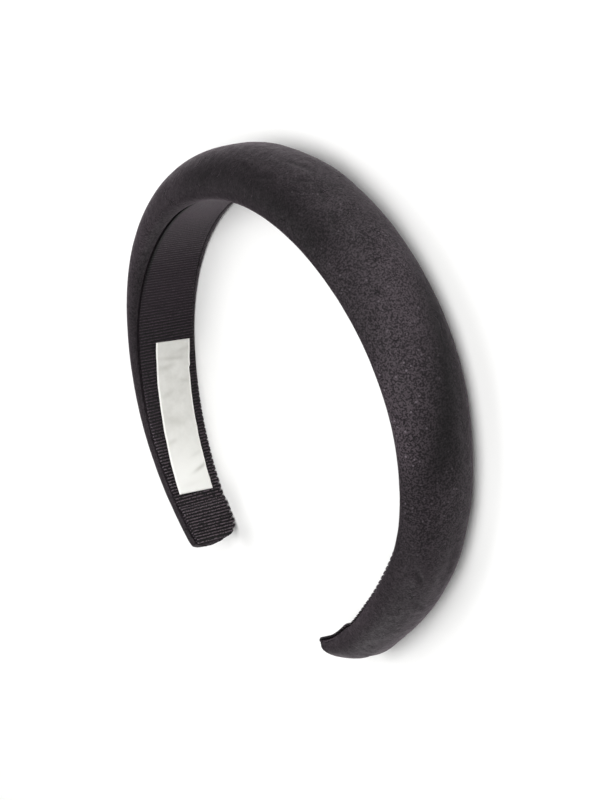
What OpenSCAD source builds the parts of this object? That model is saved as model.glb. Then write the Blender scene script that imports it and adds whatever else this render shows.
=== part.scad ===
// A padded headband, lying on its side as it rests on a table.
// A velvet pad bends round the head, a ribbed ribbon lines its inner side, and a bare woven
// label is sewn on the ribbon near the left tip.
// X points to the right leg, Y to the crown and Z up from the table. Lengths are millimetres.

/* [Band] */
// Length along the lining, from tip to tip
band_length = 360; // [340:1:380]
// Turn of the band from tip to tip, in degrees
band_turn = 289; // [278:1:298]

/* [Pad] */
// Width of the pad at the crown
crown_width = 26.6; // [24:0.1:30]
// Width of the pad at its tips
tip_width = 17.2; // [16:0.1:20]
// Thickness of the pad at the crown, from the lining out
crown_thickness = 15.4; // [13:0.1:18]
// Thickness of the pad at its tips
tip_thickness = 6.5; // [5.6:0.1:8]
// How far the rolled edges stand in past the lining at the crown
roll_stand = 0.6; // [0.3:0.1:1.6]
// Largest twist of the legs, in degrees
leg_twist = 7; // [0:0.5:9]
// Radius of the corners at the tips
tip_corner = 3; // [2:0.1:4]
// How far the soft side is pressed flat where it rests
rest_press = 0.3; // [0.1:0.1:0.6]

/* [Lining] */
// Width of the ribbon at the crown
lining_width = 19; // [17:0.1:21]
// Thickness of the ribbon
lining_thickness = 0.8; // [0.6:0.1:1]
// Length of ribbon turned under at each tip
fold_length = 11; // [8:0.5:14]
// Width of pad left beside the ribbon where the pad is narrow
edge_margin = 0.5; // [0.4:0.1:1]

/* [Label] */
// Length of the label
label_length = 51.5; // [40:0.5:60]
// Width of the label
label_width = 12.6; // [10:0.1:13.5]
// Thickness of the label
label_thickness = 0.35; // [0.3:0.05:0.5]
// Distance from the left tip to the middle of the label's lower end
label_from_tip = 17.4; // [15:0.1:40]
// Distance of the label's middle behind the middle of the ribbon
label_set_back = 1; // [0:0.1:1.4]
// How far the label is turned from the ribbon's direction, in degrees
label_skew = 3.5; // [0:0.5:4]

/* [Hidden] */

// Clearance between neighbouring pieces
gap = 0.1;
// Clearance between the two layers of the ribbon at a tip
fold_gap = 0.3;
// Distance from the pad's end to the ribbon's end
fold_inset = 0.3;
// Length over which the ribbon climbs onto its turned end
fold_climb = 3;
// Height of the pad's widest line over the lining, as a share of the thickness there
widest_share = 0.17;
// Place of a roll's crest between the ribbon's edge and the pad's side, as a share
crest_share = 0.35;
// Part of a roll's height that is a straight wall beside the ribbon, as a share
wall_share = 0.4;
// Shares of half the length at which the side touches the table
rest_near_crown = 0.25;
rest_on_leg = 0.78;

// Sections along the band, and steps of its path to one side
sections = 64;
path_steps = 120;
// Points across a strip, as shares of half its width
ACROSS = [1, 0.5, 0, -0.5, -1];
strip_count = len(ACROSS);

// Steps along the parts of a section: up to the crest, over the roll, and up the dome's side
crest_steps = 3;
roll_steps = 5;
dome_steps = 9;
// Steps round a tip's corner, round the ribbon's turn and along the label
corner_steps = 4;
turn_steps = 6;
label_steps = 24;
// Steps along the turned end, and along the face over it
under_steps = 5;
face_steps = 10;

// Rows at even steps from the crown to a tip, all shares chosen by eye:
// bend of the mean bend, width and thickness from the tip's to the crown's,
// ribbon width of the crown's, roll from its lowest to its highest, twist of the largest
BEND = 0;
WIDTH = 1;
THICKNESS = 2;
RIBBON = 3;
ROLL = 4;
TWIST = 5;
ROWS = [
    [0.86, 1.00, 1.00, 0.95, 1.00, 0.0],
    [1.01, 1.02, 0.86, 0.93, 0.94, 0.0],
    [1.22, 0.88, 0.75, 0.91, 0.69, 0.65],
    [1.07, 0.59, 0.57, 0.95, 0.36, 0.85],
    [0.78, 0.38, 0.37, 1.04, 0.20, -0.45],
    [0.95, 0.00, 0.00, 0.92, 0.00, -1.0]
];

half_length = band_length / 2;
last_row = len(ROWS) - 1;
recess_depth = lining_thickness + gap;
turn_radius = (lining_thickness + fold_gap) / 2;
fold_rise = 2 * turn_radius;

// The table is read along a smooth curve, even about the crown and straight past the tip
function row(i, column) =
    i < 0 ? ROWS[-i][column]
    : i > last_row ? 2 * ROWS[last_row][column] - ROWS[2 * last_row - i][column]
    : ROWS[i][column];

function share(s, column) =
    let (
        x = min(abs(s) / half_length, 1) * last_row,
        i = min(floor(x), last_row - 1),
        f = x - i,
        p0 = row(i - 1, column),
        p1 = row(i, column),
        p2 = row(i + 1, column),
        p3 = row(i + 2, column)
    )
    p1 + f / 2 * (p2 - p0 + f * (2 * p0 - 5 * p1 + 4 * p2 - p3 + f * (3 * (p1 - p2) + p3 - p0)));

// Angles of the steps of a quarter turn, from one step to another
function quarter(first, last, steps = 0) = [for (i = [first:last]) i * 90 / (steps > 0 ? steps : last)];

function mix(low, high, amount) = low + (high - low) * amount;

function total(values, i = 0) = i == len(values) ? 0 : values[i] + total(values, i + 1);

// Path of the lining's middle line from the crown to the right tip, as [s, x, y, heading]
path_step = half_length / path_steps;
step_bends = [for (i = [0:path_steps - 1]) share((i + 0.5) * path_step, BEND)];
bend_sum = total(step_bends);
step_turns = [for (bend = step_bends) band_turn / 2 * bend / bend_sum];

function walk(i, x, y, heading) =
    let (
        turn = i < path_steps ? step_turns[i] : 0,
        middle = heading + turn / 2,
        here = [i * path_step, x, y, heading]
    )
    i == path_steps
    ? [here]
    : concat([here], walk(i + 1, x + path_step * cos(middle), y - path_step * sin(middle), heading + turn));

PATH = walk(0, 0, 0, 0);
PATH_X = [for (p = PATH) [p[0], p[1]]];
PATH_Y = [for (p = PATH) [p[0], p[2]]];
HEADING = [for (p = PATH) [p[0], p[3]]];

// Sizes of the section at a distance s from the crown, negative on the left leg
function corner_cut(s) =
    let (q = max(0, (abs(s) - half_length) / tip_corner + 1))
    tip_corner * (1 - sqrt(max(0, 1 - q * q)));
function half_width(s) = mix(tip_width, crown_width, share(s, WIDTH)) / 2 - corner_cut(s);
function thickness(s) = mix(tip_thickness, crown_thickness, share(s, THICKNESS)) - corner_cut(s) / 2;
function widest_level(s) = widest_share * thickness(s) + recess_depth / 2;
function lining_half(s) = min(lining_width / 2 * share(s, RIBBON), half_width(s) - edge_margin);
function roll_height(s) = mix(-lining_thickness / 2, roll_stand, share(s, ROLL));
function twist(s) = leg_twist * share(s, TWIST);

// A point at s along the band, w towards the front and h out from the lining's face,
// while the band stands upright
function upright(s, w, h) =
    let (
        angle = twist(s),
        heading = sign(s) * lookup(abs(s), HEADING),
        out = w * sin(angle) + h * cos(angle)
    )
    [
        sign(s) * lookup(abs(s), PATH_X) + out * sin(heading),
        lookup(abs(s), PATH_Y) + out * cos(heading),
        w * cos(angle) - h * sin(angle)
    ];

// The band tips about X until its side touches the table near the crown and on the legs
rest_a = upright(rest_near_crown * half_length, -half_width(rest_near_crown * half_length),
    widest_level(rest_near_crown * half_length));
rest_b = upright(rest_on_leg * half_length, -half_width(rest_on_leg * half_length),
    widest_level(rest_on_leg * half_length));
rest_tilt = atan((rest_b[2] - rest_a[2]) / (rest_a[1] - rest_b[1]));

function tipped(p) = [
    p[0],
    p[1] * cos(rest_tilt) - p[2] * sin(rest_tilt),
    p[1] * sin(rest_tilt) + p[2] * cos(rest_tilt)
];

// Half of the pad's section from the recess floor over the roll to the dome, as [w, h]
function pad_front(s) =
    let (
        side = half_width(s),
        level = widest_level(s),
        top = thickness(s),
        wall = lining_half(s) + gap,
        crest = mix(wall, side, crest_share),
        stand = roll_height(s),
        wall_top = recess_depth - wall_share * (recess_depth + stand)
    )
    concat(
        [[wall, recess_depth]],
        [for (a = quarter(0, crest_steps)) [mix(crest, wall, cos(a)), mix(wall_top, -stand, sin(a))]],
        [for (a = quarter(1, roll_steps)) [mix(crest, side, sin(a)), mix(level, -stand, cos(a))]],
        [for (a = quarter(1, dome_steps - 1, dome_steps)) [side * cos(a), mix(level, top, sin(a))]]
    );

function pad_section(s) =
    let (front = pad_front(s), count = len(front))
    concat(
        front,
        [[0, thickness(s)]],
        [for (i = [1:count]) [-front[count - i][0], front[count - i][1]]],
        [for (i = [strip_count - 2:-1:1]) [ACROSS[i] * front[0][0], recess_depth]]
    );

// Places of the pad's sections, closer together round the corners of the tips
middle_half = half_length - tip_corner;
corner_places = [for (i = [1:corner_steps]) middle_half + tip_corner * sin(i * 90 / corner_steps)];
pad_places = concat(
    [for (i = [1:corner_steps]) -corner_places[corner_steps - i]],
    [for (i = [0:sections]) mix(-middle_half, middle_half, i / sections)],
    corner_places
);

pad_tipped = [for (s = pad_places) [for (p = pad_section(s)) tipped(upright(s, p[0], p[1]))]];
all_y = [for (ring = pad_tipped, p = ring) p[1]];
all_z = [for (ring = pad_tipped, p = ring) p[2]];
centre_y = (max(all_y) + min(all_y)) / 2;
table_z = min(all_z) + rest_press;

// The final place of a tipped point, pressed flat where it would pass through the table
function settled(p) = [p[0], p[1] - centre_y, max(0, p[2] - table_z)];

function place(s, w, h) = settled(tipped(upright(s, w, h)));

// Triangles between neighbouring rings of points
function skin(rings, count) = [
    for (i = [0:rings - 2], j = [0:count - 1])
        let (
            a = i * count + j,
            b = i * count + (j + 1) % count
        )
        each [[a, b, b + count], [a, b + count, a + count]]
];

function flipped(face) = [for (i = [1:len(face)]) face[len(face) - i]];

module solid_of(rings, cap) {
    count = len(rings[0]);
    last = (len(rings) - 1) * count;
    points = [for (ring = rings) each ring];
    start_faces = [for (face = cap) flipped(face)];
    end_faces = [for (face = cap) [for (i = face) i + last]];
    polyhedron(points, concat(skin(len(rings), count), start_faces, end_faces), convexity = 8);
}

// The end of a strip, one face between each two neighbours of each side
strip_cap = [
    for (i = [0:strip_count - 2]) [i, i + 1, 2 * strip_count - 2 - i, 2 * strip_count - 1 - i]
];

// A velvet-covered foam pad, with a shallow recess for the ribbon along its inner side
module velvet_pad() {
    rings = [for (ring = pad_tipped) [for (p = ring) settled(p)]];
    last = len(rings[0]) - 1;
    top = len(pad_front(0));
    front_side = 1 + crest_steps + roll_steps;
    back_side = 2 * top - front_side;
    front_lip = [for (i = [0:front_side]) i];
    back_lip = concat([2 * top], [for (i = [back_side:2 * top - 1]) i]);
    body = concat(
        [for (i = [top:back_side]) i],
        [for (i = [2 * top:last]) i],
        [0],
        [for (i = [front_side:top - 1]) i]
    );
    color("#2c2a30") solid_of(rings, [front_lip, body, back_lip]);
}

// Middle line of the ribbon as [s, h]: the turned end, the turn, and the face up to the crown
function climb(x) = let (f = min(1, max(0, x))) f * f * (3 - 2 * f);
turn_centre = half_length - fold_inset - turn_radius - lining_thickness / 2;
fold_start = half_length - fold_length;
climb_start = fold_start - fold_climb;
under_places = [for (i = [0:under_steps]) mix(fold_start, turn_centre, i / under_steps)];
face_places = concat(
    [for (i = [0:face_steps]) mix(turn_centre, climb_start, i / face_steps)],
    [for (i = [1:len(pad_places)]) let (s = -pad_places[i - 1]) if (s >= 0 && s < climb_start - fold_climb / 2) s]
);

function face_height(s) =
    lining_thickness / 2 - fold_rise * climb((s - climb_start) / fold_climb);

right_line = concat(
    [for (s = under_places) [s, lining_thickness / 2]],
    [
        for (i = [1:turn_steps - 1])
            let (a = 180 * i / turn_steps)
            [turn_centre + turn_radius * sin(a), lining_thickness / 2 - turn_radius * (1 - cos(a))]
    ],
    [for (s = face_places) [s, face_height(s)]]
);
line_count = len(right_line);
ribbon_line = concat(
    [for (p = right_line) [-p[0], p[1]]],
    [for (i = [2:line_count]) right_line[line_count - i]]
);

// The ribbon is a flat strip bent along that line
module grosgrain_lining() {
    last = len(ribbon_line) - 1;
    half = lining_thickness / 2;
    rings = [
        for (i = [0:last])
            let (
                ahead = ribbon_line[min(i + 1, last)],
                behind = ribbon_line[max(i - 1, 0)],
                along = (ahead - behind) / norm(ahead - behind),
                s1 = ribbon_line[i][0] - half * along[1],
                h1 = ribbon_line[i][1] + half * along[0],
                s2 = ribbon_line[i][0] + half * along[1],
                h2 = ribbon_line[i][1] - half * along[0]
            )
            concat(
                [for (a = ACROSS) place(s1, a * lining_half(s1), h1)],
                [for (a = ACROSS) place(s2, -a * lining_half(s2), h2)]
            )
    ];
    color("#1f1e22") solid_of(rings, strip_cap);
}

// A flat bare label on the face of the ribbon
module woven_label() {
    middle = label_from_tip + label_length / 2 - half_length;
    rings = [
        for (i = [0:label_steps])
            let (along = label_length * (i / label_steps - 0.5))
            [
                for (side = [1, -1], a = ACROSS)
                    let (across = side * a * label_width / 2)
                    place(
                        middle + along * cos(label_skew) + across * sin(label_skew),
                        across * cos(label_skew) - along * sin(label_skew) - label_set_back,
                        -gap - (side > 0 ? 0 : label_thickness)
                    )
            ]
    ];
    color("#dfdfda") solid_of(rings, strip_cap);
}

velvet_pad();
grosgrain_lining();
woven_label();
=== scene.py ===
import math

import bmesh
import bpy
import numpy as np
from mathutils import Matrix, Vector, noise


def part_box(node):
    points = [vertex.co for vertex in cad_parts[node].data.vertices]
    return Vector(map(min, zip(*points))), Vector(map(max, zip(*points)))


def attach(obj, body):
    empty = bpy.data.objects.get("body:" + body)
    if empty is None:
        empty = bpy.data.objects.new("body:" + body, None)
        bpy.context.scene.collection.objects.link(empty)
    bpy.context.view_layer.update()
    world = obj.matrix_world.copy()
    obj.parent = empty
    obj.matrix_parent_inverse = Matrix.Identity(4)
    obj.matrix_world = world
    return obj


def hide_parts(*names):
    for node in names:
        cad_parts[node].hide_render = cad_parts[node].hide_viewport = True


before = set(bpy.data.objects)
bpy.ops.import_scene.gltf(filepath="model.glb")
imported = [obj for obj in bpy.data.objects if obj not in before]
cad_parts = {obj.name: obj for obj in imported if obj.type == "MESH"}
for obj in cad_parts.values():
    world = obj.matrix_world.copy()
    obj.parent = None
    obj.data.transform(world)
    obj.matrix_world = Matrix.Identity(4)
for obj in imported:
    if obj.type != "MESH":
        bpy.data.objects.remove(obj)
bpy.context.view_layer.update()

bl_info = {
    "name": "Padded Headband",
    "version": (1, 0, 0),
    "blender": (4, 5, 0),
    "location": "View3D > Sidebar > Headband",
    "description": "Dresses a padded headband in crushed velvet, a ribbed ribbon lining and a bare label",
    "category": "Object",
}

MM = 0.001
BODY = "root"

# Rows at even steps from the crown to a tip, all shares listed as the solids have them:
# bend of the mean bend, width and thickness from the tip's to the crown's,
# ribbon width of the crown's, roll from its lowest to its highest, twist of the largest
COLUMNS = ("bend", "width", "thickness", "ribbon", "roll", "twist")
ROWS = np.array([
    (0.86, 1.00, 1.00, 0.95, 1.00, 0.0),
    (1.01, 1.02, 0.86, 0.93, 0.94, 0.0),
    (1.22, 0.88, 0.75, 0.91, 0.69, 0.65),
    (1.07, 0.59, 0.57, 0.95, 0.36, 0.85),
    (0.78, 0.38, 0.37, 1.04, 0.20, -0.45),
    (0.95, 0.00, 0.00, 0.92, 0.00, -1.0),
])
PATH_STEPS = 120

# Clearances, and places in a section as shares, as the solids have them but for a closer fold
GAP = 0.1 * MM
FOLD_GAP = 0.04 * MM
FOLD_CLIMB = 3 * MM
WIDEST_SHARE = 0.17
CREST_SHARE = 0.35
WALL_SHARE = 0.4
# How much of the ribbon the front roll covers at the crown
FRONT_COVER = 1.5 * MM
# How much further the ribbon reaches towards the rear side, but for its free ends
REAR_REACH = 1.3 * MM
# Where the band rests on its side, as shares of half its length
RESTS = (0.25, 0.78)
# Tables along the band: each place is a share of half its length, negative on the left leg. How free the
# ribbon's edges are, how much of the right lift the inner side has, how deep the padding lies inside the
# solid as a share of the largest lump, and how far the rolls swell as a share of the roll swell
FREE = ((-0.82, 1), (-0.64, 0), (0.52, 0), (0.68, 1))
LIFT = ((0.56, 0), (0.72, 1), (0.8, 1), (0.88, 0.75), (0.955, 0.35))
LUMPS = (
    (-0.42, 0), (-0.27, -0.9), (-0.1, -0.5), (-0.02, -0.1), (0.045, -0.6), (0.1, 0), (0.16, 0), (0.26, 0.4),
    (0.38, 0.5), (0.47, 1), (0.52, 0.8), (0.59, -0.1), (0.67, -1), (0.73, -0.3), (0.8, 0.15), (0.845, 0.3),
    (0.915, -0.9), (0.99, 1))
FRONT_SWELL = (
    (-0.4, 2.2), (-0.2, 1), (-0.13, 1), (0.05, 4.5), (0.35, 4.3), (0.48, 2.5), (0.57, 2.3), (0.68, 1))
REAR_SWELL = ((0.1, 1), (0.22, -0.5), (0.5, -0.5), (0.6, 1))


def mix(low, high, amount):
    return low + (high - low) * amount


def smooth(x):
    x = np.clip(x, 0, 1)
    return x * x * (3 - 2 * x)


def eased(x, *points):
    """A value that eases from each point to the next. Each point is a place and its value."""
    value = points[0][1]
    for (start, low), (end, high) in zip(points, points[1:]):
        value = value + (high - low) * smooth((x - start) / (end - start))
    return value


def corner_cut(s, half_length, radius):
    """How far a rounded corner of that radius has cut in at s."""
    q = np.clip((np.abs(s) - half_length) / radius + 1, 0, 1)
    return radius * (1 - np.sqrt(1 - q * q))


class Band:
    """The band's path and sections. s runs along the lining from the crown, positive on the right leg,
    w from the middle towards the front edge, and h out from the lining's face."""

    def __init__(self, shape):
        self.shape = shape
        self.half_length = shape.band_length / 2
        step = self.half_length / PATH_STEPS
        bends = self.share("bend", (np.arange(PATH_STEPS) + 0.5) * step)
        self.heading = np.concatenate([[0], np.cumsum(shape.band_turn / 2 * bends / bends.sum())])
        middle = (self.heading[1:] + self.heading[:-1]) / 2
        self.path_s = np.arange(PATH_STEPS + 1) * step
        self.path_x = np.concatenate([[0], np.cumsum(step * np.cos(middle))])
        self.path_y = np.concatenate([[0], -np.cumsum(step * np.sin(middle))])
        self.recess = shape.ribbon_thickness + GAP
        self.settle()

    def share(self, column, s):
        """A column of the rows along a smooth curve, even about the crown and straight past the tip."""
        rows = ROWS[:, COLUMNS.index(column)]
        last = len(rows) - 1
        x = np.minimum(np.abs(s) / self.half_length, 1) * last
        i = np.minimum(np.floor(x), last - 1).astype(int)
        f = x - i
        padded = np.concatenate([[rows[1]], rows, [2 * rows[last] - rows[last - 1]]])
        p0, p1, p2, p3 = (padded[i + k] for k in range(4))
        bend = 2 * p0 - 5 * p1 + 4 * p2 - p3 + f * (3 * (p1 - p2) + p3 - p0)
        return p1 + f / 2 * (p2 - p0 + f * bend)

    def half_width(self, s):
        return mix(self.shape.tip_width, self.shape.crown_width, self.share("width", s)) / 2

    def thickness(self, s):
        thick = mix(self.shape.tip_thickness, self.shape.crown_thickness, self.share("thickness", s))
        return thick - corner_cut(s, self.half_length, self.shape.tip_corner) / 2

    def widest_level(self, s):
        return WIDEST_SHARE * self.thickness(s) + self.recess / 2

    def side(self, s, rear):
        """Half of the pad's width on the rear side or the front one, whose corners at the tips differ."""
        corner = self.shape.rear_corner if rear else self.shape.front_corner
        return self.half_width(s) - corner_cut(s, self.half_length, corner)

    def ribbon_side(self, s, rear):
        """Half of the ribbon's width on that side, without what the front roll covers near the crown."""
        if rear:
            covered = -REAR_REACH * (1 - self.free(s))
        else:
            covered = eased(np.abs(s) / self.half_length, (0.32, FRONT_COVER), (0.6, 0))
        widest = self.side(s, rear) - self.shape.edge_margin
        return np.minimum(self.shape.ribbon_width / 2 * self.share("ribbon", s), widest) - covered

    def free(self, s):
        """From 0 where the rolls hold the ribbon's edges to 1 where it lies free, near the tips."""
        return eased(s / self.half_length, *FREE)

    def roll_height(self, s):
        return mix(-self.shape.ribbon_thickness / 2, self.shape.roll_stand, self.share("roll", s))

    def lift(self, s):
        """How far the inner side stands in past the solid near the right tip."""
        return self.shape.right_lift * eased(s / self.half_length, *LIFT)

    def slim(self, s):
        """How far the padding lies inside the solid, or outside it where negative, with its slight lumps."""
        return self.shape.lumps * eased(s / self.half_length, *LUMPS)

    def upright(self, s, w, h):
        """Points while the band stands on its tips with its crown up, along the last axis."""
        s, w, h = np.broadcast_arrays(s, w, h)
        h = h - self.lift(s) * smooth(1 - h / self.thickness(s))
        angle = self.shape.leg_twist * self.share("twist", s)
        heading = np.sign(s) * np.interp(np.abs(s), self.path_s, self.heading)
        beyond = np.maximum(np.abs(s) - self.half_length, 0)
        out = w * np.sin(angle) + h * np.cos(angle)
        x = np.sign(s) * (np.interp(np.abs(s), self.path_s, self.path_x) + beyond * np.cos(np.abs(heading)))
        y = np.interp(np.abs(s), self.path_s, self.path_y) - beyond * np.sin(np.abs(heading))
        across = w * np.cos(angle) - h * np.sin(angle)
        return np.stack([x + out * np.sin(heading), y + out * np.cos(heading), across], -1)

    def settle(self):
        """Tips the band onto its side, and sets it where the frame has the padding."""
        rests = np.array(RESTS) * self.half_length
        a, b = self.upright(rests, -self.half_width(rests), self.widest_level(rests))
        self.tilt = math.atan((b[2] - a[2]) / (a[1] - b[1]))
        self.shift = np.zeros(3)
        low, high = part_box("velvet_pad")
        s = np.linspace(-self.half_length, self.half_length, 2 * PATH_STEPS + 1)
        s = s[np.abs(s) < self.half_length - self.shape.tip_corner]
        turn = np.linspace(0, math.pi, PATH_STEPS + 1)[:, None]
        level = self.widest_level(s)
        dome = self.place(s, self.half_width(s) * np.cos(turn), mix(level, self.thickness(s), np.sin(turn)))
        self.shift = np.array([0, high.y - dome[..., 1].max(), high.z - dome[..., 2].max()])
        width = 2 * dome[..., 0].max()
        if abs(width - (high.x - low.x)) > MM:
            raise RuntimeError("The band's sizes don't give the width that the frame has")

    def place(self, s, w, h):
        """The points s, w, h in the frame, in metres."""
        p = self.upright(s, w, h)
        c, n = math.cos(self.tilt), math.sin(self.tilt)
        y = p[..., 1] * c - p[..., 2] * n
        z = p[..., 1] * n + p[..., 2] * c
        return np.stack([p[..., 0], y, z], -1) + self.shift


def make_object(bm, name):
    """Turns the bmesh into an object in the scene."""
    mesh = bpy.data.meshes.new(name)
    bm.to_mesh(mesh)
    bm.free()
    piece = bpy.data.objects.new(name, mesh)
    bpy.context.scene.collection.objects.link(piece)
    return piece


def lofted(name, points, u, v, marks=()):
    """A closed body: a grid is bent through rings of points, its seam merged and its two ends filled.
    u and v are each point's place on the flat cloth, in metres, kept as the piece's UV map.
    marks are pairs of a name and a number for each point, kept on the points."""
    rings, around = points.shape[:2]
    bm = bmesh.new()
    cloth = bm.loops.layers.uv.new("cloth")
    layers = [(bm.verts.layers.float.new(mark), values) for mark, values in marks]
    bmesh.ops.create_grid(bm, x_segments=around, y_segments=rings - 1, size=1)
    bm.verts.ensure_lookup_table()
    flat = np.stack([u, v], -1).reshape(-1, 2)
    for face in bm.faces:
        for loop in face.loops:
            loop[cloth].uv = flat[loop.vert.index]
    for vert in bm.verts:
        ring, place = divmod(vert.index, around + 1)
        vert.co = points[ring, place % around]
        for layer, values in layers:
            vert[layer] = values[ring, place % around]
    bmesh.ops.remove_doubles(bm, verts=bm.verts, dist=1e-7)
    bmesh.ops.holes_fill(bm, edges=[edge for edge in bm.edges if edge.is_boundary], sides=0)
    bmesh.ops.recalc_face_normals(bm, faces=bm.faces)
    for face in bm.faces:
        face.smooth = True
    return make_object(bm, name)


def round_lengths(points):
    """Distance round each ring to each of its points, and back to the first."""
    steps = np.linalg.norm(np.roll(points, -1, 1) - points, axis=-1)
    return np.concatenate([0 * steps[:, :1], np.cumsum(steps, 1)], 1)


def point_vectors(mesh, name):
    """The points' places, which Blender calls co, or their normals."""
    vectors = np.zeros(len(mesh.vertices) * 3)
    mesh.vertices.foreach_get(name, vectors)
    return vectors.reshape(-1, 3)


def set_places(mesh, places):
    mesh.vertices.foreach_set("co", places.astype(np.float32).ravel())
    mesh.update()


def point_values(mesh, name):
    values = np.zeros(len(mesh.vertices), np.float32)
    mesh.attributes[name].data.foreach_get("value", values)
    return values.astype(float)


def settle_modifiers(piece):
    """Puts the shape that the modifiers give into the mesh and takes them off."""
    graph = bpy.context.evaluated_depsgraph_get()
    graph.update()
    made = bpy.data.meshes.new_from_object(piece.evaluated_get(graph), depsgraph=graph)
    piece.modifiers.clear()
    old = piece.data
    piece.data = made
    bpy.data.meshes.remove(old)


def ripple(places, size, seed):
    """Smooth noise from about -1 to 1, whose swells are about that size."""
    offset = Vector((seed * 7.3, seed * 3.1, seed * 5.7))
    return np.array([noise.noise(Vector(p) / size + offset) for p in places])


def along_across(s, w):
    return np.stack([s, w, np.zeros_like(s)], -1)


def linear(hex_colour):
    """An sRGB hex colour as the linear and opaque colour that the shaders use."""
    parts = [int(hex_colour[i:i + 2], 16) / 255 for i in (1, 3, 5)]
    return [c / 12.92 if c <= 0.04045 else ((c + 0.055) / 1.055) ** 2.4 for c in parts] + [1]


def new_material(name):
    """An empty node material, and the function that adds its nodes."""
    material = bpy.data.materials.new(name)
    material.use_nodes = True
    tree = material.node_tree
    tree.nodes.clear()

    def add(kind, links=None, **settings):
        """One shader node with its settings. links gives its inputs, each from a node, a node's socket or
        a value."""
        node = tree.nodes.new("ShaderNode" + kind)
        for setting, value in settings.items():
            setattr(node, setting, value)
        for socket, source in (links or {}).items():
            if isinstance(source, bpy.types.Node):
                source = next(output for output in source.outputs if output.enabled)
            if isinstance(source, bpy.types.NodeSocket):
                tree.links.new(source, node.inputs[socket])
            else:
                node.inputs[socket].default_value = source
        return node

    return material, add


def dress(piece, material):
    piece.data.materials.clear()
    piece.data.materials.append(material)


def a_length(label, description, millimetres):
    return bpy.props.FloatProperty(
        name=label, description=description, default=millimetres * MM, unit="LENGTH")


def an_angle(label, description, degrees):
    return bpy.props.FloatProperty(
        name=label, description=description, default=math.radians(degrees), unit="ROTATION")


def a_colour(label, description, hex_colour):
    return bpy.props.FloatVectorProperty(
        name=label, description=description, default=linear(hex_colour),
        size=4, min=0, max=1, subtype="COLOR")


class HeadbandShape(bpy.types.PropertyGroup):
    """Sizes of the solids, and of the velvet and the ribbon that replace them"""
    band_length: a_length("Band Length", "Length along the lining, from tip to tip", 360)
    band_turn: an_angle("Band Turn", "Turn of the band from tip to tip", 289)
    crown_width: a_length("Crown Width", "Width of the pad at the crown", 26.6)
    tip_width: a_length("Tip Width", "Width of the pad at its tips", 17.2)
    crown_thickness: a_length("Crown Thickness", "Thickness of the pad at the crown", 15.4)
    tip_thickness: a_length("Tip Thickness", "Thickness of the pad at its tips", 6.5)
    roll_stand: a_length(
        "Roll Stand", "How far the rolled edges stand in past the lining at the crown", 0.6)
    leg_twist: an_angle("Leg Twist", "Largest twist of the legs", 7)
    tip_corner: a_length("Tip Corner", "Radius of the solid's corners at the tips", 3)
    front_corner: a_length("Front Corner", "Radius of the velvet's front corner at a tip", 0.4)
    rear_corner: a_length("Rear Corner", "Radius of the velvet's rear corner at a tip", 5.5)
    right_short: a_length(
        "Right Short", "How far the velvet ends before the band's length at the right tip", 1.5)
    end_bulge: a_length("End Bulge", "How far the stuffed end of the velvet swells past the ribbon", 0.6)
    right_lift: a_length("Right Lift", "How far the inner side stands in further near the right tip", 1.15)
    lumps: a_length("Lumps", "How far the padding's slight lumps and hollows go from the solid", 0.8)
    roll_swell: a_length("Roll Swell", "How far the stuffed rolls stand out from the solid", 0.3)
    edge_margin: a_length("Edge Margin", "Width of pad beside the ribbon where the pad is narrow", 0.5)
    ribbon_width: a_length("Ribbon Width", "Width of the ribbon at the crown", 19)
    ribbon_thickness: a_length("Ribbon Thickness", "Thickness of the ribbon", 0.8)
    left_fold_length: a_length("Left Fold Length", "Length of ribbon turned under at the left tip", 11)
    right_fold_length: a_length("Right Fold Length", "Length of ribbon turned under at the right tip", 20.5)
    rib_pitch: a_length("Rib Pitch", "Distance from one rib of the ribbon to the next", 1.05)
    rib_depth: a_length("Rib Depth", "Depth of the grooves between the ribs", 0.36)
    swell: a_length("Swell", "How far the padding may push the velvet out", 0.25)


class LabelShape(bpy.types.PropertyGroup):
    """Sizes of the label, as the solid has them"""
    length: a_length("Length", "Length of the label", 51.5)
    width: a_length("Width", "Width of the label", 12.6)
    thickness: a_length("Thickness", "Thickness of the label", 0.35)
    from_tip: a_length("From Tip", "Distance from the left tip to the label's lower end", 17.4)
    set_back: a_length("Set Back", "Distance of the label's middle behind the ribbon's middle", 1)
    skew: an_angle("Skew", "How far the label is turned from the ribbon's direction", 3.5)
    taper: a_length("Taper", "How much further out each side of the label is at its lower end", 0.8)
    turned_end: a_length("Turned End", "Length of label folded under at each end", 4.5)


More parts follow.
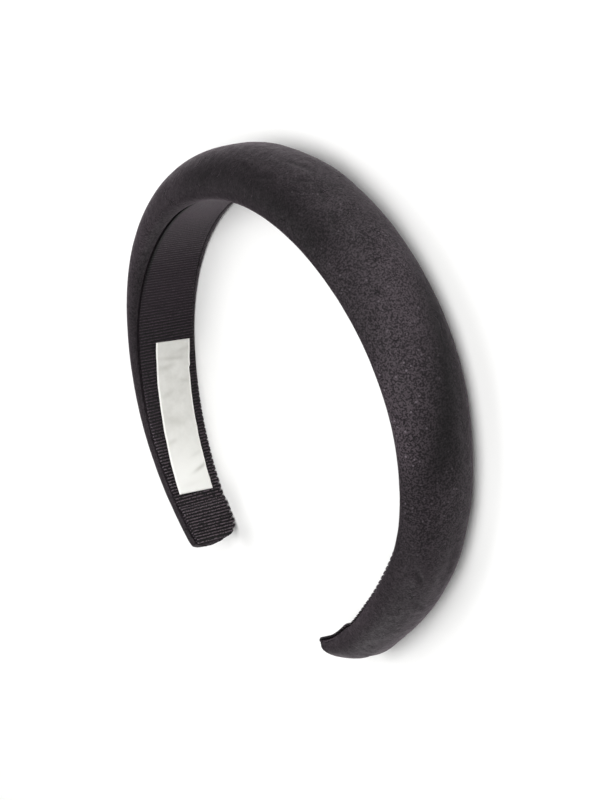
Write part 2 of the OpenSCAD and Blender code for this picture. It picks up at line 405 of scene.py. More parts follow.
class HeadbandColours(bpy.types.PropertyGroup):
    """Colours of the fabrics and the stage"""
    velvet_deep: a_colour("Velvet Deep", "Velvet where the pile points away", "#130F12")
    velvet_lit: a_colour("Velvet Lit", "Velvet where the pile is brushed up", "#332D31")
    # Painted glints: tips of the pile drawn bright where the light catches them
    velvet_glint: a_colour("Velvet Tips", "Single tips of the pile that catch the light", "#494348")
    # Painted shade in short marks where the pile is pressed over
    velvet_mark_shade: a_colour("Velvet Mark", "Short marks where the pile is pressed over", "#060506")
    velvet_sheen: a_colour("Velvet Sheen", "Light on the tips of the pile", "#83747F")
    # Painted shade in the grooves between the ribs, and under the front roll
    ribbon_groove_shade: a_colour("Ribbon Groove", "Grooves between the ribs", "#060506")
    ribbon_crest: a_colour("Ribbon Crest", "Crests of the ribs", "#3A2E37")
    # Painted highlight on the crests of the ribs near the tips
    ribbon_crest_highlight: a_colour("Ribbon Tight", "Crests of the ribs near the tips", "#5A4F56")
    # Painted highlight on the loops along the ribbon's free edges
    ribbon_loop_highlight: a_colour("Ribbon Loops", "Loops along the ribbon's edges", "#5E555C")
    label_face: a_colour("Label Face", "Satin of the label", "#E3E3DF")
    # Painted shade towards the label's upper end, mottled
    label_upper_shade: a_colour("Label Worn", "Greyer satin towards the label's upper end", "#C5C4BF")
    # Painted shade in the creases beside the label's puckers
    label_crease_shade: a_colour("Label Crease", "Satin in the creases beside its puckers", "#AAA9A2")
    # The label's woven edge, with a painted highlight along it
    label_woven_edge_highlight: a_colour("Label Edge", "Woven edge of the label", "#F1F0EC")
    floor: a_colour("Floor", "Pale floor", "#FDFDFC")


# Steps of the velvet's mesh before it is subdivided
PAD_STEPS = 184
PAD_CREST_STEPS = 3
PAD_ROLL_STEPS = 3
PAD_DOME_STEPS = 7
PAD_CORNER_STEPS = 6
PAD_END_STEPS = 4
PAD_SUBDIVISIONS = 2
# Size of the last ring at a tip, as a share of the section
PAD_END_SHARE = 0.12
# The point of a section, counted from the recess's middle, at which the cover is sewn
SEAM_POINT = 3
# Width of the narrow row of faces beside the recess walls, which keeps their corners sharp
FLOOR_BORDER = 0.3 * MM
# How far the rolls lean over the ribbon's edges at the crown, and the width of the front crevice there
ROLL_LEAN = 0.45 * MM
CREVICE = 0.35 * MM
# How far both rolls drop where the ribbon lies free, and how far the rear one drops all along
ROLL_DROP = 0.3 * MM
REAR_DROP = 0.45 * MM
# How high the rear wall of the recess is, as a share, and how far the rear side draws in at the free edges
REAR_WALL_SHARE = 0.8
REAR_TUCK = 0.5 * MM
# How the rolls rise again towards the tips, in a table along the band: 0.5 undoes the drop
ROLL_END = ((0.84, 0), (0.89, 0.45), (0.965, 0.35), (0.99, 1))
# The cloth simulation that stuffs the cover
STUFF_FRAMES = 20
CLOTH = {
    "quality": 6, "mass": 0.15, "tension_stiffness": 5, "compression_stiffness": 5, "shear_stiffness": 2,
    "bending_stiffness": 0.1, "air_damping": 1, "use_pressure": True, "uniform_pressure_force": 400}
# How far the padding gives once the cover is sewn shut
SETTLED = 0.24 * MM
# Gathers at the seams: their depth, how far they reach, and a coarse and a fine row of them, each with
# its spacing, its share of the depth and its seed
GATHER_DEPTH = 0.05 * MM
GATHER_REACH = 2.5 * MM
GATHERS = ((3.4 * MM, 1, 1), (1.7 * MM, 0.5, 2))
# Swells of the crushed pile: their height, and the size and seed of each kind
CRUSH_HEIGHT = 0.04 * MM
SWELLS = ((11 * MM, 3), (4 * MM, 4))
# Short creases in the velvet: distance along the band from the crown and round it from the front
# seam, for the start and the end of each, then its depth, all in mm
CREASES = (
    (-11, 18.5, -5, 17, 0.256),
    (-1.5, 17, 5, 19.5, 0.256),
    (2, 26.5, 9.5, 28, 0.256),
    (4, 29, 12, 28.6, 0.192),
    (8.5, 21.5, 14.5, 26.5, 0.32),
    (15, 26, 21, 24, 0.256),
    (24, 23.5, 30, 20.5, 0.256),
    (-27, 11, -21, 14, 0.224),
    (118, 10, 123, 12.5, 0.288),
    (130, 13, 134, 17, 0.256),
)
CREASE_WIDTH = 0.8 * MM
# How high the velvet rises beside a crease, and how dark the painted shade in it is for each
# millimetre of depth
CREASE_BANK = 0.45
CREASE_SHADE = 1.375
# A painted streak of light and shade runs slantwise down the right leg: its distance from the front seam
# at the crown, in mm, and how much nearer it comes for each mm along the band. Then how much painted light,
# or painted shade where negative, it puts on the pile at each place before and behind it, in mm
STREAK_AT = 50
STREAK_SLOPE = 0.52
STREAK = ((-12, 0), (0, 0.42), (5, 0.34), (9, -0.1), (14, -0.75), (20, -0.5), (30, 0))
# Patches of painted light and shade on the pile: how much lighter they show, then in mm their distance
# from the front seam, their reach, and along the band where each begins, is full, starts to fade and ends.
# They are painted light on the right leg's front, and painted shade on the crown's inner side and on the
# left leg's roll
PATCHES = (
    (0.5, 6, 5, 55, 70, 86, 94),
    (-0.6, 14.5, 6.5, -45, -25, 25, 40),
    (-0.33, 1, 2.5, -130, -110, -45, -35),
)
# How strong the painted glitter and glints on the pile are, by the distance along the band in mm
GLINT_BY_PLACE = ((0, 0.55), (35, 1), (60, 1), (75, 1.5), (95, 1.5), (120, 0.5))


def quarter(first, last, steps):
    return [math.pi / 2 * i / steps for i in range(first, last + 1)]


def pad_side(band, s, rear):
    """Half of the velvet's section on the rear side or the front one, from the recess floor over the
    roll to the dome, as rows of w and h. The roll's inner side leans a little over the ribbon's edge."""
    swell = band.shape.roll_swell
    x = s / band.half_length
    free = band.free(s)
    side = band.side(s, rear)
    wall = band.ribbon_side(s, rear) + GAP
    end = eased(np.abs(x), *ROLL_END)
    stand = band.roll_height(s) + swell * (1 - free) - ROLL_DROP * free * (1 - 2 * end)
    if rear:
        side = side + swell * eased(x, *REAR_SWELL) * (1 - free) - REAR_TUCK * free
        stand = stand - REAR_DROP * mix(1, 0.8, free)
    else:
        side = side + swell * eased(x, *FRONT_SWELL)
        wall = wall + CREVICE * (1 - free)
    level = band.widest_level(s)
    top = band.thickness(s) - band.slim(s)
    floor = band.recess + 0 * s
    wall = np.minimum(wall, side - GAP)
    wall_top = band.recess - (REAR_WALL_SHARE if rear else WALL_SHARE) * (band.recess + stand)
    crest = mix(wall, side, CREST_SHARE)
    leaning = eased(x, (-0.2, 0), (0, ROLL_LEAN))
    rows = [(wall - FLOOR_BORDER, floor), (wall, floor)]
    for a in quarter(0, PAD_CREST_STEPS, PAD_CREST_STEPS):
        h = mix(wall_top, -stand, math.sin(a))
        lean = leaning * math.cos(a) * smooth((-h - GAP) / ROLL_LEAN)
        rows.append((mix(crest, wall, math.cos(a)) - lean, h))
    for a in quarter(1, PAD_ROLL_STEPS, PAD_ROLL_STEPS):
        rows.append((mix(crest, side, math.sin(a)), mix(level, -stand, math.cos(a))))
    for a in quarter(1, PAD_DOME_STEPS - 1, PAD_DOME_STEPS):
        rows.append((side * math.cos(a), mix(level, top, math.sin(a))))
    return rows


def pile_light_and_shade(s, front):
    """Painted light and shade on the pile at s and that distance from the front seam, as a factor on its
    colour: the painted streak and patches, a painted rim glow on the left leg past its roll, and painted
    light near the right leg's tip, but for a band between its front seam and its outer side."""
    s, front = s / MM, front / MM
    streak = eased(front + STREAK_SLOPE * s - STREAK_AT, *STREAK)
    pile = 1 + streak * eased(s, (28, 0), (42, 1), (86, 1), (102, 0))
    for change, middle, reach, *places in PATCHES:
        pile += change * np.exp(-((front - middle) / reach) ** 2) * eased(s, *zip(places, (0, 1, 1, 0)))
    # Painted rim glow on the left leg's outer side, past its roll
    pile += eased(front, (2, 0), (7, 0.55)) * eased(s, (-70, 1), (-50, 0))
    # Painted light near the right leg's tip
    by_tip = 0.5 * np.exp(-(front / 3) ** 2) + eased(front, (11, 0), (15, 0.4))
    return pile + by_tip * eased(s, (126, 0), (138, 1))


def swollen_end(w, h, end_s, bulge):
    """Rings that close a tip like the end of a pillow, from its last section outwards."""
    angles = np.array(quarter(1, PAD_END_STEPS, PAD_END_STEPS))[:, None]
    size = mix(PAD_END_SHARE, 1, np.sqrt(np.abs(np.cos(angles))))
    ring_s = end_s + math.copysign(bulge, end_s) * np.sin(angles) + 0 * w
    ring_w = mix((w.max() + w.min()) / 2, w, size)
    ring_h = mix((h.max() + h.min()) / 2, h, size)
    return np.stack([ring_s, ring_w, ring_h])


def pad_rings(band):
    """s, w and h of the rings of the velvet's section, from the left tip to the right one, and each
    point's distances from the front seam and the rear seam, which are at most 0 in the recess."""
    shape = band.shape
    middle = band.half_length - shape.rear_corner
    near_tip = middle + shape.rear_corner * np.sin(quarter(1, PAD_CORNER_STEPS, PAD_CORNER_STEPS))
    s = np.concatenate([-near_tip[::-1], np.linspace(-middle, middle, PAD_STEPS + 1), near_tip])
    front = pad_side(band, s, False)
    rear = pad_side(band, s, True)
    rows = [(0 * s, band.recess + 0 * s)] + front + [(0 * s, band.thickness(s))]
    rows += [(-w, h) for w, h in reversed(rear)]
    w = np.stack([row[0] for row in rows], 1)
    h = np.stack([row[1] for row in rows], 1)
    s = s - eased(s / band.half_length, (0.96, 0), (1, shape.right_short))
    rings = np.stack([np.repeat(s[:, None], len(rows), 1), w, h])
    left = swollen_end(w[0], h[0], s[0], shape.end_bulge)
    right = swollen_end(w[-1], h[-1], s[-1], shape.end_bulge / 2)
    s, w, h = np.concatenate([left[:, ::-1], rings, right], 1)
    # Without the last, which is the way back to the first point
    lengths = round_lengths(np.stack([w, h], -1))[:, :-1]
    from_front = lengths - lengths[:, SEAM_POINT, None]
    from_rear = lengths[:, -SEAM_POINT, None] - lengths
    return s, w, h, from_front, from_rear


def stuff(piece, pinned, swell):
    """Blows the cover up from inside with a short cloth simulation, whose points may end no further
    than the swell from where they were made."""
    made = point_vectors(piece.data, "co")
    held = piece.vertex_groups.new(name="held")
    held.add([int(i) for i in np.flatnonzero(pinned)], 1, "REPLACE")
    cloth = piece.modifiers.new("cover", "CLOTH")
    for name, value in CLOTH.items():
        setattr(cloth.settings, name, value)
    cloth.settings.vertex_group_mass = held.name
    cloth.settings.effector_weights.gravity = 0
    cloth.collision_settings.use_collision = False
    cloth.point_cache.frame_end = STUFF_FRAMES
    for number in range(1, STUFF_FRAMES + 1):
        bpy.context.scene.frame_set(number)
    settle_modifiers(piece)
    bpy.context.scene.frame_set(1)
    moved = point_vectors(piece.data, "co") - made
    far = np.linalg.norm(moved, axis=1)
    set_places(piece.data, made + moved * np.minimum(1, swell / np.maximum(far, 1e-9))[:, None])


def crush(mesh, half_length):
    """Moves the velvet's points for settled padding, gathers at the seams, a crushed pile and short
    creases, and puts painted shade along the creases into the pile attribute."""
    places = point_vectors(mesh, "co")
    s = point_values(mesh, "along")
    w = point_values(mesh, "across")
    front = point_values(mesh, "from_front")
    seam = np.minimum(front, point_values(mesh, "from_rear"))
    # The gathers run across the band, so they change slowly that way
    stretched = along_across(s, w * 0.2)
    gathers = sum(share * np.maximum(0, ripple(stretched, size, seed)) for size, share, seed in GATHERS)
    near = np.exp(-(np.maximum(seam, 0) / GATHER_REACH) ** 2)
    near *= eased(np.abs(s) / half_length, (0.3, 1), (1.3, 0))
    outward = -SETTLED - GATHER_DEPTH * gathers * near
    for size, seed in SWELLS:
        outward += CRUSH_HEIGHT * ripple(places, size, seed)
    # The pile attribute's painted light and shade, to which each crease adds painted shade
    pile = point_values(mesh, "pile")
    for first_s, first_front, last_s, last_front, depth in CREASES:
        first = np.array([first_s, first_front]) * MM
        along = np.array([last_s, last_front]) * MM - first
        offset = np.stack([s, front], -1) - first
        share = np.clip(offset @ along / (along @ along), 0, 1)
        far = np.linalg.norm(offset - share[:, None] * along, axis=1) / CREASE_WIDTH
        taper = 4 * share * (1 - share) + 0.15
        outward -= depth * MM * taper * (np.exp(-far ** 2) - CREASE_BANK * np.exp(-(far - 2) ** 2))
        # Painted shade along the crease, deepest on its middle line
        pile *= 1 - CREASE_SHADE * depth * taper * np.exp(-far ** 2)
    mesh.attributes["pile"].data.foreach_set("value", pile.astype(np.float32))
    outward *= smooth(seam / (0.5 * MM) + 1)
    places += point_vectors(mesh, "normal") * outward[:, None]
    places[:, 2] = np.maximum(places[:, 2], 0)
    set_places(mesh, places)


def make_velvet():
    """Crushed velvet: short dense pile over foam, near black where one looks into it. Its colour has painted
    glints and glitter on the tips of the pile, most on the right leg, painted shade in short dark marks
    where it is pressed over, and painted light and shade from the pile attribute."""
    colours = bpy.context.scene.headband_colours
    velvet, add = new_material("crushed_velvet")
    places = add("TexCoord").outputs["Object"]
    pile = add("Attribute", attribute_name="pile").outputs["Fac"]
    glint_share = add("Attribute", attribute_name="glint_share").outputs["Fac"]
    # Single threads of the pile are drawn coarser than life, as tufts of half a millimetre
    grain = add("TexNoise", {"Vector": places, "Scale": 1 / (0.5 * MM), "Detail": 1.0, "Roughness": 0.5})
    tufts = add("TexNoise", {"Vector": places, "Scale": 1 / (2 * MM), "Detail": 2.0})
    patches = add("TexNoise", {"Vector": places, "Scale": 1 / (12 * MM), "Detail": 2.0})
    # Painted glitter: the fine grain lightens the tone, most where the glint share is high
    glitter = add("Math", {0: grain, 1: 0.5}, operation="SUBTRACT")
    glitter = add("Math", {0: glitter, 1: glint_share}, operation="MULTIPLY")
    tone = add("Math", {0: tufts, 1: 0.35, 2: 0.33}, operation="MULTIPLY_ADD")
    tone = add("Math", {0: glitter, 1: 2.8, 2: tone}, operation="MULTIPLY_ADD")
    tone = add("Math", {0: patches, 1: 0.4, 2: tone}, operation="MULTIPLY_ADD")
    tone = add("MapRange", {"Value": tone, "From Min": 0.35, "From Max": 1.05})
    # Painted glints: single bright tips of the pile, one to each millimetre or so
    cells = add("TexVoronoi", {"Vector": places, "Scale": 1 / (1.1 * MM)})
    chance = add("SeparateColor", {"Color": cells.outputs["Color"]})
    bright = add("MapRange", {"Value": chance, "From Min": 0.75, "From Max": 1})
    near = add("MapRange", {
        "Value": cells.outputs["Distance"], "From Min": 0.15, "From Max": 0.35, "To Min": 1, "To Max": 0})
    tips = add("Math", {0: bright, 1: near}, operation="MULTIPLY")
    tips = add("Math", {0: tips, 1: glint_share}, operation="MULTIPLY")
    # Painted shade in marks of about 0.2 by 3 mm, along the level lines of a slow noise, in some places
    # only;
    # the bumps sink them too
    lines = add("TexNoise", {"Vector": places, "Scale": 1 / (4.5 * MM), "Detail": 1.0, "Distortion": 0.8})
    lines = add("Math", {0: lines, 1: 0.5}, operation="SUBTRACT")
    lines = add("Math", {0: lines}, operation="ABSOLUTE")
    lines = add("MapRange", {
        "Value": lines, "From Min": 0.004, "From Max": 0.022, "To Min": 0.85, "To Max": 0})
    where = add("TexNoise", {"Vector": places, "Scale": 1 / (5 * MM), "Detail": 1.0})
    where = add("MapRange", {"Value": where, "From Min": 0.55, "From Max": 0.63})
    marks = add("Math", {0: lines, 1: where}, operation="MULTIPLY")
    # From deep to lit velvet by random tufts and patches and by the painted glitter, then the painted glints
    # and the painted shade of the marks
    colour = colours.velvet_deep
    layers = (tone, colours.velvet_lit), (tips, colours.velvet_glint), (marks, colours.velvet_mark_shade)
    for share, over in layers:
        colour = add("Mix", {"Factor": share, "A": colour, "B": over}, data_type="RGBA")
    # The pile attribute scales the colour with its painted light and shade
    colour = add("VectorMath", {0: colour, "Scale": pile}, operation="SCALE")
    normal = add("Bump", {"Height": tufts, "Distance": 0.15 * MM})
    normal = add("Bump", {"Height": grain, "Distance": 0.06 * MM, "Normal": normal})
    normal = add("Bump", {"Height": marks, "Distance": -0.15 * MM, "Normal": normal})
    roughness = add("MapRange", {
        "Value": tufts, "From Min": 0.35, "From Max": 0.65, "To Min": 0.68, "To Max": 0.56})
    shader = add("BsdfPrincipled", {
        "Base Color": colour, "Normal": normal, "Roughness": roughness, "Specular IOR Level": 0.15,
        "Sheen Weight": 0.36, "Sheen Roughness": 0.35, "Sheen Tint": colours.velvet_sheen})
    add("OutputMaterial", {"Surface": shader})
    return velvet


# Steps of the ribbon's mesh: columns for each rib, and round the turn at a tip
RIB_STEPS = 6
TURN_STEPS = 16
# Stations across the ribbon as shares of half its width, and how much of its thickness it has there
RIBBON_FACE = ((1, 0.5), (0.975, 0.9), (0.93, 1), (0.87, 1), (0.6, 1), (0.3, 1), (0, 1))
# Half the width of the ribbon's back, and where its edges and the parts that the roll shades begin, as
# shares of half the width
RIBBON_BACK = 0.93
EDGE_FROM = 0.95
SHADED_FROM = 0.9
# At the ribbon's edges two ribs run together into one tooth. How far a tooth stands out, and the
# ribbon past the solid on the rear side of the legs
TOOTH = 1.0 * MM
OVERHANG = 0.5 * MM
# How far each side of a turned-under part draws in, so that the recess holds it
NARROWER = 0.1 * MM
# Depth of the ribs at the crown, where the ribbon is worn smooth, and near the tips, where the turned
# ribbon is tight, as shares of their depth elsewhere
WORN_DEPTH = 0.05
TIGHT_DEPTH = 1.7
# How much flatter the ribs are at the edges of the right tip, and the teeth along its front edge
FLAT_EDGE = 0.6
PACKED_TEETH = 0.8
# How far a rib strays from straight across, the power that makes ribs and teeth rounder, and the part of
# a tooth that lies inside the ribbon's edge
RIB_STRAY = 0.12 * MM
ROUNDNESS = 0.7
TOOTH_ROOT = 0.6
# Where across the ribbon the teeth begin, as a share of half its width, and how steeply they grow there
TOOTH_FROM = 0.85
TOOTH_SLOPE = 9
# The ribbon's turn at the left tip and at the right one: how far it ends before the band's length, and
# how much wider than its fold it is. The face eases back down over a length from the turn
LEFT_TURN = (-0.1 * MM, 0)
RIGHT_TURN = (0.9 * MM, 0.4 * MM)
TURN_LENGTH = 10 * MM


def ribbon_half_line(band, fold_length, inset, bulge):
    """Middle line of half of the ribbon as s and h, from its turned end to the crown. The turn ends at
    the inset before the band's length, and is wider than the fold by the bulge."""
    half = band.shape.ribbon_thickness / 2
    radius = half + FOLD_GAP / 2
    wide = radius + bulge / 2
    turn_s = band.half_length - inset - wide - half
    fold_s = band.half_length - fold_length
    climb_s = fold_s - FOLD_CLIMB
    angles = math.pi * np.arange(1, TURN_STEPS) / TURN_STEPS
    under = np.stack([np.linspace(fold_s, turn_s, TURN_STEPS), np.full(TURN_STEPS, half)], 1)
    turn = np.stack([turn_s + wide * np.sin(angles), half - wide * (1 - np.cos(angles))], 1)
    face_s = np.linspace(turn_s, 0, 3 * PATH_STEPS)
    opened = bulge * smooth(1 - (turn_s - face_s) / TURN_LENGTH)
    face = np.stack([face_s, half - 2 * radius * smooth((face_s - climb_s) / FOLD_CLIMB) - opened], 1)
    return np.concatenate([under, turn, face])


def ribbed(band):
    """Rings of the ribbon's section from one turned end over the crown to the other, with a rounded
    rib every pitch, a number for each point that is 1 on its free edges, which get a painted highlight,
    and -1 where the roll shades it, which gets painted shade, the length along it of each ring, and the
    number of ribs."""
    shape = band.shape
    left = ribbon_half_line(band, shape.left_fold_length, *LEFT_TURN) * (-1, 1)
    right = ribbon_half_line(band, shape.right_fold_length, *RIGHT_TURN)
    line = np.concatenate([left, right[-2::-1]])
    lengths = np.concatenate([[0], np.cumsum(np.hypot(*np.diff(line, axis=0).T))])
    ribs = 2 * round(lengths[-1] / shape.rib_pitch / 2)
    t = np.linspace(0, lengths[-1], ribs * RIB_STEPS + 1)
    line_s = np.interp(t, lengths, line[:, 0])
    line_h = np.interp(t, lengths, line[:, 1])
    along_s, along_h = np.gradient(line_s), np.gradient(line_h)
    norm = np.hypot(along_s, along_h)
    along_s, along_h = along_s / norm, along_h / norm
    stations = [(c, rise, 1) for c, rise in RIBBON_FACE]
    stations += [(-c, rise, 1) for c, rise in reversed(RIBBON_FACE[:-1])]
    stations += [(-RIBBON_BACK, 1, -1), (0, 1, -1), (RIBBON_BACK, 1, -1)]
    x = line_s / band.half_length
    free = band.free(line_s)
    # 0 on the turned-under parts, which lie hidden in the recess, and 1 on the part that shows
    shown = smooth((np.gradient(line_s, t) + 1) / 2)
    share = eased(np.abs(x), (0.37, WORN_DEPTH), (0.5, 1), (0.75, 1), (0.9, TIGHT_DEPTH))
    depth = shape.rib_depth * share * (1 + 0.2 * ripple(along_across(t, 0 * t), 3 * MM, 7))
    flat = eased(x, (0.86, 0), (0.9, FLAT_EDGE))
    packed = PACKED_TEETH * smooth((line_s - band.half_length + shape.right_fold_length) / (4 * MM))
    # Near the crown, where the front roll shades the ribbon's edge, which gets painted shade
    shade = eased(np.abs(x), (0.4, 1), (0.6, 0))
    points, edges = [], []
    for c, rise, face in stations:
        rear = c < 0
        edge = abs(c) > EDGE_FROM
        shift = ripple(along_across(t, np.full_like(t, c * shape.ribbon_width / 2)), 5 * MM, 6)
        phase = (t + RIB_STRAY * shift) / shape.rib_pitch
        ridge = np.abs(np.sin(math.pi * phase)) ** ROUNDNESS
        d = face * (shape.ribbon_thickness / 2 - depth * (1 - flat * edge) * (1 - ridge)) * rise
        tooth = np.abs(np.sin(math.pi / 2 * phase)) ** ROUNDNESS - TOOTH_ROOT
        tooth = TOOTH * tooth * free * smooth((abs(c) - TOOTH_FROM) * TOOTH_SLOPE)
        tooth = tooth * (1 - packed * (c > 0))
        drawn_in = (NARROWER + REAR_TUCK * rear) * (1 - shown)
        w = c * (band.ribbon_side(line_s, rear) + (free * OVERHANG * rear + tooth) * shown - drawn_in)
        points.append(np.stack([line_s + d * along_h, w, line_h - d * along_s], -1))
        # 1 on the free edges, which get a painted highlight, and -1 where the roll shades the ribbon, which
        # gets painted shade
        edges.append(edge * free - shade * (c > SHADED_FROM))
    return np.stack(points, 1), np.stack(edges, 1), t, ribs


def make_grosgrain(ribs, length):
    """Black polyester grosgrain: thick weft ribs with painted highlights on their crests, and painted shade
    in the deep dull grooves between them, most near the tips, and loops along its edges with painted
    highlights where the weft turns back."""
    colours = bpy.context.scene.headband_colours
    grosgrain, add = new_material("black_grosgrain")
    cloth = add("UVMap", uv_map="cloth")
    parts = add("SeparateXYZ", {"Vector": cloth})
    wave = add("Math", {0: parts.outputs["Y"], 1: math.pi * ribs / length}, operation="MULTIPLY")
    wave = add("Math", {0: wave}, operation="SINE")
    crest = add("Math", {0: wave}, operation="ABSOLUTE")
    # Near the crown, in the middle of the length, the ribs are worn and their painted groove shade shows
    # less
    middle = add("Math", {0: parts.outputs["Y"], 1: length / 2}, operation="SUBTRACT")
    middle = add("Math", {0: middle}, operation="ABSOLUTE")
    wear_and_shade = add("MapRange", {
        "Value": middle, "From Min": 0.15 * length, "From Max": 0.25 * length, "To Min": 1, "To Max": 0})
    # Where the painted highlight on the crests grows, near the tips
    crest_highlight = add("MapRange", {"Value": middle, "From Min": 0.36 * length, "From Max": 0.42 * length})
    crest = add("Math", {0: crest, 1: wear_and_shade}, operation="MAXIMUM")
    fleck = add("TexNoise", {"Vector": cloth, "Scale": 1 / (0.5 * MM), "Detail": 2.0})
    # Painted light and shade across each rib: light on its crest, shade in its groove, broken up by flecks
    shade = add("Math", {0: fleck, 1: 1.8, 2: 0.1}, operation="MULTIPLY_ADD")
    shade = add("Math", {0: crest, 1: shade}, operation="MULTIPLY")
    # How dark the painted groove shade gets: lighter in the middle of each leg, wider and darker near the
    # tips
    lowest = add("MapRange", {
        "Value": middle, "From Min": 0.25 * length, "From Max": 0.42 * length,
        "To Min": 0.25, "To Max": -0.9})
    shade = add("MapRange", {"Value": shade, "From Min": 0.68, "From Max": 1, "To Min": lowest})
    rib = add("Mix", {
        "Factor": crest_highlight, "A": colours.ribbon_crest, "B": colours.ribbon_crest_highlight}, data_type="RGBA")
    edge = add("Attribute", attribute_name="edge").outputs["Fac"]
    # Painted highlight on the loops of the free edges, stronger on the ribs' crests
    loops = add("Math", {0: shade, 1: 0.6, 2: 0.4}, operation="MULTIPLY_ADD")
    loops = add("Math", {0: loops, 1: edge}, operation="MULTIPLY")
    # Painted shade on the ribbon's edge where the front roll shades it
    shaded = add("MapRange", {"Value": edge, "From Min": 0, "From Max": -0.8})
    # From the painted groove shade up to the crests, then the painted highlight on the loops and the painted
    # shade under the roll
    colour = colours.ribbon_groove_shade
    layers = (shade, rib), (loops, colours.ribbon_loop_highlight), (shaded, colours.ribbon_groove_shade)
    for share, over in layers:
        colour = add("Mix", {"Factor": share, "A": colour, "B": over}, data_type="RGBA")
    # The warp threads that bind the ribs are drawn coarser than life, 0.42 mm apart
    threads = add("Math", {0: parts.outputs["X"], 1: 2 * math.pi / (0.42 * MM)}, operation="MULTIPLY")
    yarn = add("Math", {0: threads}, operation="SINE")
    normal = add("Bump", {"Height": yarn, "Strength": 0.4, "Distance": 0.05 * MM})
    normal = add("Bump", {"Height": fleck, "Strength": 0.8, "Distance": 0.1 * MM, "Normal": normal})
    shader = add("BsdfPrincipled", {
        "Base Color": colour, "Normal": normal, "Roughness": 0.5, "Specular IOR Level": 0.22,
        "Sheen Weight": 0.08, "Sheen Tint": colours.velvet_sheen})
    add("OutputMaterial", {"Surface": shader})
    return grosgrain


LABEL_STEPS = 120
# Stations across the label as shares of half its width
LABEL_FACE = (1, 0.97, 0.9, 0.75, 0.6, 0.45, 0.3, 0.15, 0)
# How thick the label is where it isn't doubled, as a share, how far its rounded edges reach, how thin it
# may get, and how uneven its face and its long edges are
SINGLE = 0.6
LABEL_EDGE = 0.35 * MM
LABEL_LEAST = 0.1 * MM
LABEL_UNEVEN = 0.07 * MM
EDGE_UNEVEN = 0.12 * MM
# Puckers of the label: place along it from its lower end and across it, length, width, turn from
# straight across in degrees, and height, all in mm
PUCKERS = (
    (8.5, -3.6, 6.0, 0.9, -24, 0.3),
    (13.5, -3.5, 5.0, 1.1, -20, -0.1),
    (46.5, 0.0, 9.0, 1.0, 4, 0.22),
    (44.0, 3.0, 6.0, 1.3, -8, 0.2),
    (49.0, -3.0, 5.0, 0.9, -12, 0.16),
    (38.5, -4.5, 4.0, 1.2, 15, 0.2),
    (35.0, 3.5, 5.0, 1.4, -20, 0.16),
    (27.0, 2.0, 8.0, 2.5, 10, 0.16),
    (19.0, 4.5, 4.0, 1.2, -15, 0.16),
    (4.0, 1.0, 8.0, 1.2, -6, 0.05),
)
# Where the label's rear edge steps in, from its lower end, and how far
STEP_AT = 42 * MM
STEP_DEPTH = 0.35 * MM


def label_rings(band, label):
    """Rings of the label's section along it, with its ends folded under and a few puckers, each
    point's place on the flat label, and how strongly the painted shade in a crease beside a pucker shows
    there."""
    u = np.linspace(0, label.length, LABEL_STEPS + 1)
    c = np.array(LABEL_FACE + tuple(-x for x in reversed(LABEL_FACE[:-1])))
    across = c * label.width / 2
    grid_u, grid_c = np.meshgrid(u, across, indexing="ij")
    from_end = np.minimum(grid_u, label.length - grid_u)
    doubled = 1 - smooth((from_end / label.turned_end - 0.9) * 6)
    uneven = ripple(along_across(grid_u.ravel(), grid_c.ravel()), 7 * MM, 8).reshape(grid_u.shape)
    height = label.thickness * mix(SINGLE, 1, doubled) + LABEL_UNEVEN * uneven
    painted_crease_shade = 0 * grid_u
    for at, side, length, width, turn, lift in PUCKERS:
        du, dc = grid_u / MM - at, grid_c / MM - side
        turned = math.radians(turn)
        far = ((dc * math.cos(turned) + du * math.sin(turned)) / length * 2) ** 2
        beside = (du * math.cos(turned) - dc * math.sin(turned)) / width
        height += lift * MM * np.exp(-far - beside ** 2)
        # Painted shade in a crease along one side of the pucker
        painted_crease_shade += 2.4 * abs(lift) * np.exp(-far - (beside + 1) ** 2 * 2)
    edge = np.minimum(label.width / 2 - np.abs(grid_c), from_end) / LABEL_EDGE
    height = np.maximum(height, LABEL_LEAST) * np.sqrt(smooth(edge * 0.75 + 0.25))
    middle = label.from_tip + label.length / 2 - band.half_length

    def placed(along, side, height):
        step = STEP_DEPTH * smooth((along + label.length / 2 - STEP_AT) / MM + 0.5) * (side < 0)
        wavy = ripple(along_across(along.ravel(), 0 * along.ravel()), 4 * MM, 9).reshape(along.shape)
        wider = step + EDGE_UNEVEN * wavy - label.taper * along / label.length
        side = side * (1 + 2 * wider / label.width)
        s = middle + along * math.cos(label.skew) + side * math.sin(label.skew)
        w = side * math.cos(label.skew) - along * math.sin(label.skew) - label.set_back
        return band.place(s, w, -GAP - height)

    along = grid_u - label.length / 2
    # The back runs from one edge to the other against the face, and leaves out both edges
    back = placed(along, grid_c, 0 * along)
    points = np.concatenate([placed(along, grid_c, height), back[:, -2:0:-1]], 1)
    flat_u = np.concatenate([grid_c, grid_c[:, -2::-1]], 1)
    flat_v = np.repeat(u[:, None], flat_u.shape[1], 1)
    painted_crease_shade = np.concatenate([painted_crease_shade, painted_crease_shade[:, -2:0:-1]], 1)
    return points, flat_u, flat_v, [("painted_crease_shade", painted_crease_shade)]


